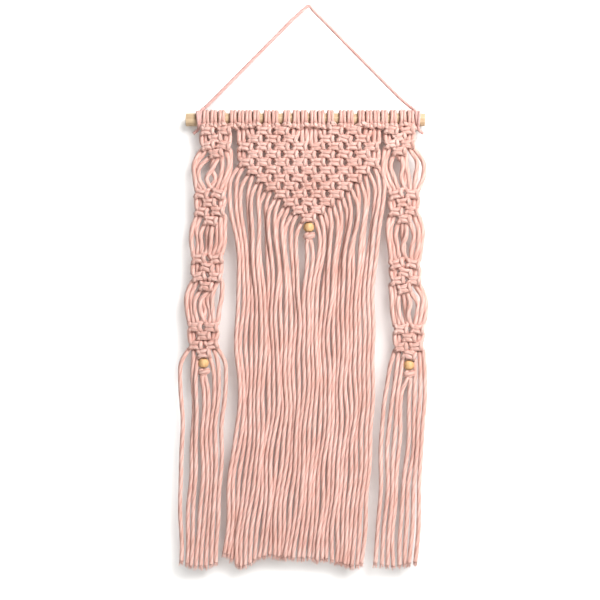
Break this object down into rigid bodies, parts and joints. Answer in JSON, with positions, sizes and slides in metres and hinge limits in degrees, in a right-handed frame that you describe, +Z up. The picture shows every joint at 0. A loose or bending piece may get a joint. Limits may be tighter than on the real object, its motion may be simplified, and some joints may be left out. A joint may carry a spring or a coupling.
{
  "type": "macrame wall hanging with rod",
  "caption": "Knotted cotton wall hanging: a pointed net with a long fringe between two narrow knotted panels, all on a wooden rod that hangs by a cord.",
  "frame": {"origin": "underside of the hanging cord's top bend, the spot that rests on a hook or nail", "axes": "+X to the right as seen from the front, +Y towards the wall, +Z up"},
  "size_m": [0.2913, 0.0288, 0.6586],
  "materials": {
    "cotton": "soft pale pink twisted cotton cord, matt",
    "hanging_cord": "thinner pink twisted cotton cord, matt",
    "rod_wood": "bare pale dowel, fine grain along its length",
    "bead_wood": "turned light wood bead, faint sheen"
  },
  "bodies": {
    "root": {"rod": "rod_wood", "hanging_cord": "hanging_cord", "tie_left": "hanging_cord", "tie_right": "hanging_cord", "panel_middle": "cotton", "fringe_middle": "cotton", "bead_middle": "bead_wood", "stopper_middle": "cotton", "panel_left": "cotton", "fringe_left": "cotton", "bead_left": "bead_wood", "stopper_left": "cotton", "panel_right": "cotton", "fringe_right": "cotton", "bead_right": "bead_wood", "stopper_right": "cotton"}
  },
  "joints": []
}
